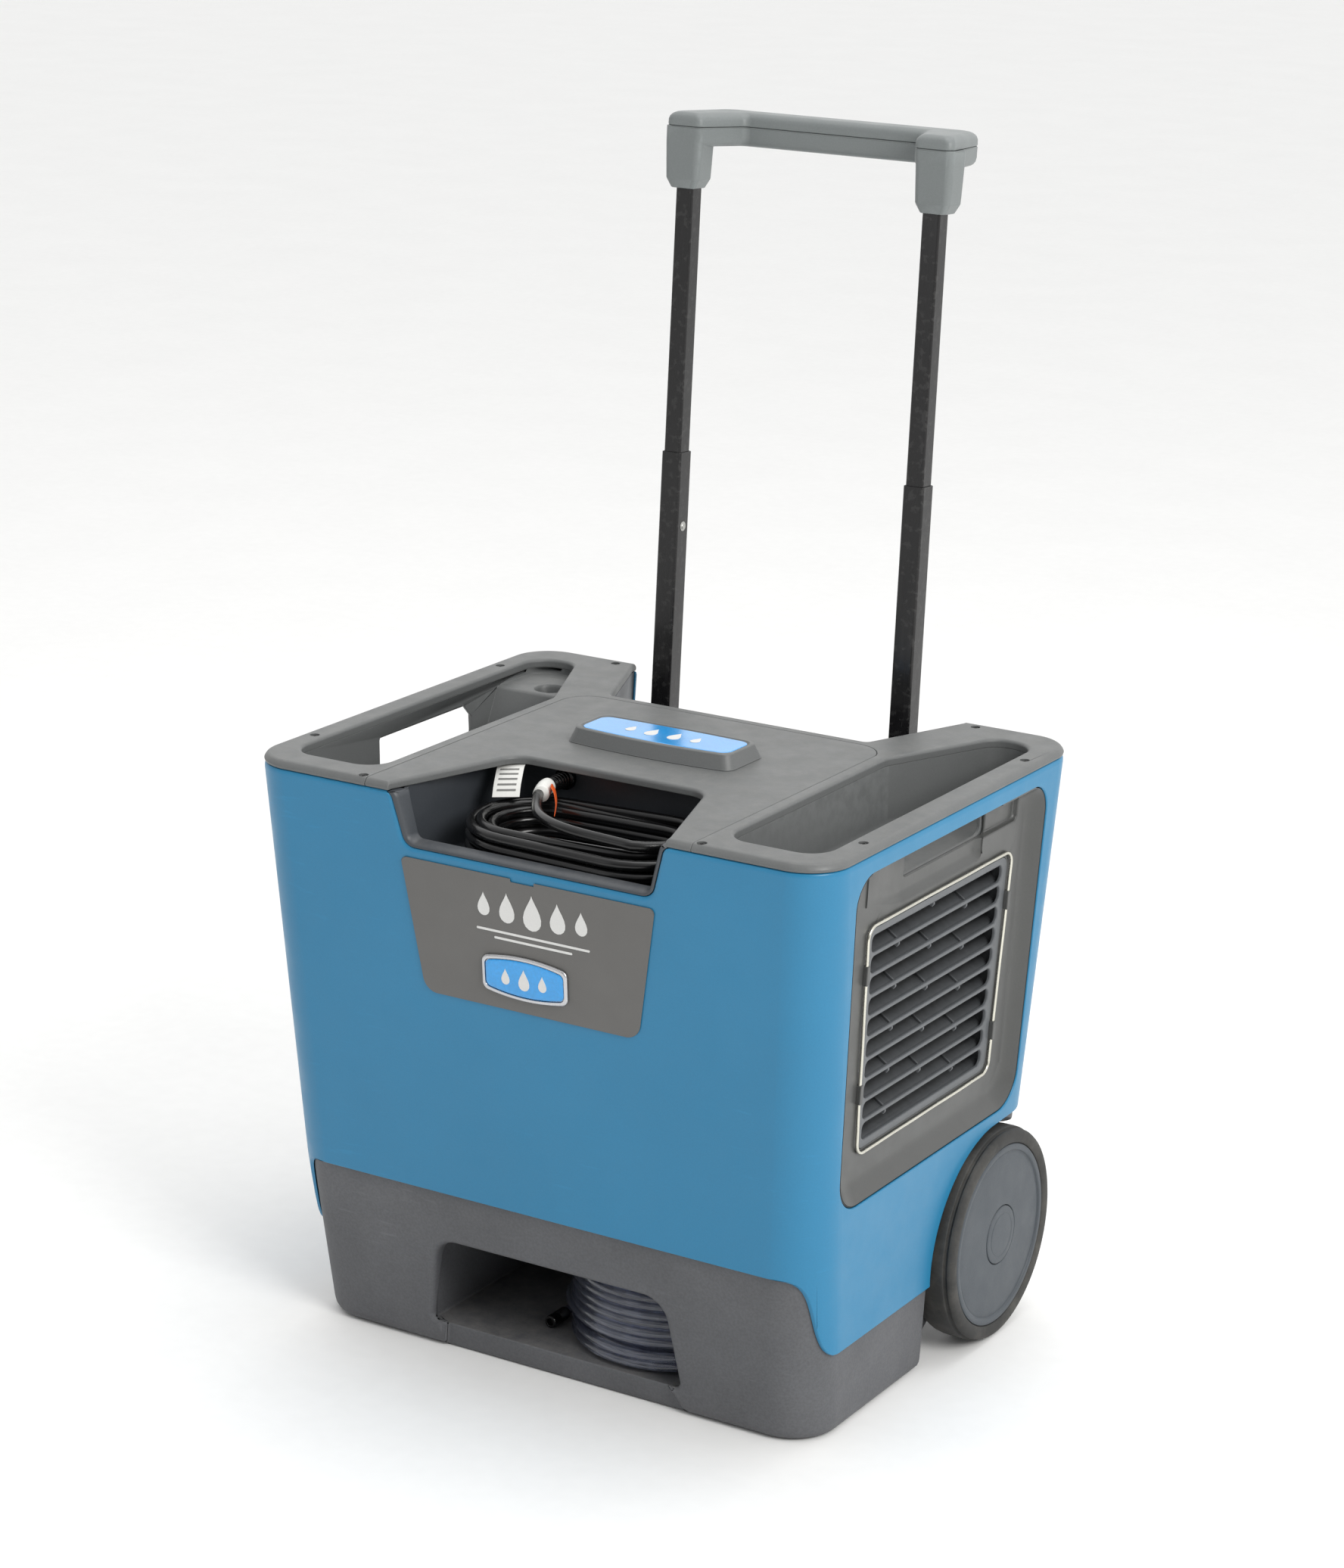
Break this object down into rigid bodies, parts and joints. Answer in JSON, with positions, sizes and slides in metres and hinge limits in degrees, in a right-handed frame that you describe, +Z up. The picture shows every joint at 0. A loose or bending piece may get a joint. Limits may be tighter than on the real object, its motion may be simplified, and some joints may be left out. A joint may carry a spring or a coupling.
{
  "type": "dehumidifier",
  "caption": "Wheeled commercial dehumidifier: tapered cabinet, louvred side recesses, cord and hose bays, and a telescopic tow handle.",
  "frame": {"origin": "bottom centre of the whole machine's box, on the floor between the wheels and the front of the base", "axes": "+X to the machine's right-hand louvred side, +Y to the back (the handle side), +Z up"},
  "size_m": [0.5936, 0.5414, 1.087],
  "materials": {
    "blue_shell": "satin moulded plastic, mid blue",
    "base_plastic": "rotomoulded matte grey with a fine grain",
    "lid_plastic": "satin grey moulding",
    "bay_plastic": "dark grey moulding",
    "bezel_plastic": "semi-gloss dark grey moulding",
    "label_film": "matte grey film",
    "badge_enamel": "glossy domed blue badge with a silver rim",
    "bright_wire": "bright bent wire",
    "tyre_rubber": "dark grey rubber",
    "hub_plastic": "grey moulded plastic",
    "zinc_steel": "zinc-plated steel",
    "black_tube": "gloss black paint on square steel tube",
    "grip_plastic": "light grey satin plastic",
    "button_plastic": "light grey keys",
    "coil_fins": "stacked aluminium fins",
    "filter_mesh": "open foam filter",
    "black_enamel": "semi-gloss black enamel",
    "copper_pipe": "drawn copper tube",
    "cord_rubber": "black rubber-sheathed mains cord",
    "clear_hose": "clear vinyl hose, slightly milky",
    "brass_fitting": "turned brass hose barb"
  },
  "bodies": {
    "chassis": {"housing_shell": "blue_shell", "base_tub": "base_plastic", "top_lid": "lid_plastic", "top_cover": "lid_plastic", "badge_plinth": "lid_plastic", "cord_bay_tray": "bay_plastic", "pocket_tray_left": "lid_plastic", "pocket_tray_right": "lid_plastic", "handle_bay_liner": "bay_plastic", "label_plate": "label_film", "front_badge": "badge_enamel", "side_bezel_left": "bezel_plastic", "side_bezel_right": "bezel_plastic", "louvre_grille_left": "bezel_plastic", "louvre_grille_right": "bezel_plastic", "wire_frame_left": "bright_wire", "wire_frame_right": "bright_wire", "wheel_axle": "zinc_steel", "handle_sleeve_left": "bay_plastic", "handle_sleeve_right": "bay_plastic", "control_panel": "bay_plastic", "deck_plate": "zinc_steel", "drip_tray": "bay_plastic", "condenser_coil": "coil_fins", "evaporator_coil": "coil_fins", "air_filter": "filter_mesh", "compressor": "black_enamel", "discharge_line": "copper_pipe", "suction_line": "copper_pipe", "fan_shroud": "bay_plastic", "fan_motor": "zinc_steel", "condensate_pump": "black_enamel", "electrical_box": "zinc_steel", "cord_gland": "cord_rubber", "power_cord_lead": "cord_rubber", "power_cord_coil": "cord_rubber", "power_plug": "cord_rubber", "drain_hose_coil": "clear_hose", "drain_hose_lead": "clear_hose", "drain_hose_fitting": "brass_fitting", "drain_hose_end": "cord_rubber"},
    "wheel_left": {"tyre_left": "tyre_rubber", "wheel_hub_left": "hub_plastic", "hub_cap_left": "hub_plastic"},
    "wheel_right": {"tyre_right": "tyre_rubber", "wheel_hub_right": "hub_plastic", "hub_cap_right": "hub_plastic"},
    "handle_lower": {"lower_tube_left": "black_tube", "lower_tube_right": "black_tube", "lower_cross_tie": "black_tube"},
    "handle_upper": {"upper_tube_left": "black_tube", "upper_tube_right": "black_tube", "grip_lower_shell": "grip_plastic", "grip_upper_shell": "grip_plastic"},
    "fan": {"fan_impeller": "black_enamel"},
    "power_key": {"power_button": "button_plastic"},
    "fan_key": {"fan_button": "button_plastic"},
    "purge_key": {"purge_button": "button_plastic"},
    "hours_key": {"hours_button": "button_plastic"},
    "float": {"pump_float": "button_plastic"}
  },
  "joints": [
    {"name": "wheel_left_spin", "type": "hinge", "parent": "chassis", "child": "wheel_left", "pos_m": [-0.27, 0.096, 0.101], "axis": [1, 0, 0], "continuous": true},
    {"name": "wheel_right_spin", "type": "hinge", "parent": "chassis", "child": "wheel_right", "pos_m": [0.27, 0.096, 0.101], "axis": [1, 0, 0], "continuous": true},
    {"name": "handle_lower_slide", "type": "slide", "parent": "chassis", "child": "handle_lower", "axis": [0, 0.0499, 0.9988], "range_m": [-0.292, 0]},
    {"name": "handle_upper_slide", "type": "slide", "parent": "handle_lower", "child": "handle_upper", "axis": [0, 0.0499, 0.9988], "range_m": [-0.244, 0]},
    {"name": "fan_spin", "type": "hinge", "parent": "chassis", "child": "fan", "pos_m": [-0.19, -0.035, 0.345], "axis": [1, 0, 0], "continuous": true},
    {"name": "power_press", "type": "slide", "parent": "chassis", "child": "power_key", "axis": [0, -1, 0], "range_m": [0, 0.0015], "stiffness_N_per_m": 300},
    {"name": "fan_press", "type": "slide", "parent": "chassis", "child": "fan_key", "axis": [0, -1, 0], "range_m": [0, 0.0015], "stiffness_N_per_m": 300},
    {"name": "purge_press", "type": "slide", "parent": "chassis", "child": "purge_key", "axis": [0, -1, 0], "range_m": [0, 0.0015], "stiffness_N_per_m": 300},
    {"name": "hours_press", "type": "slide", "parent": "chassis", "child": "hours_key", "axis": [0, -1, 0], "range_m": [0, 0.0015], "stiffness_N_per_m": 300},
    {"name": "float_swing", "type": "hinge", "parent": "chassis", "child": "float", "pos_m": [-0.046, 0.041, 0.086], "axis": [0, 1, 0], "range_deg": [-12, 0]}
  ]
}
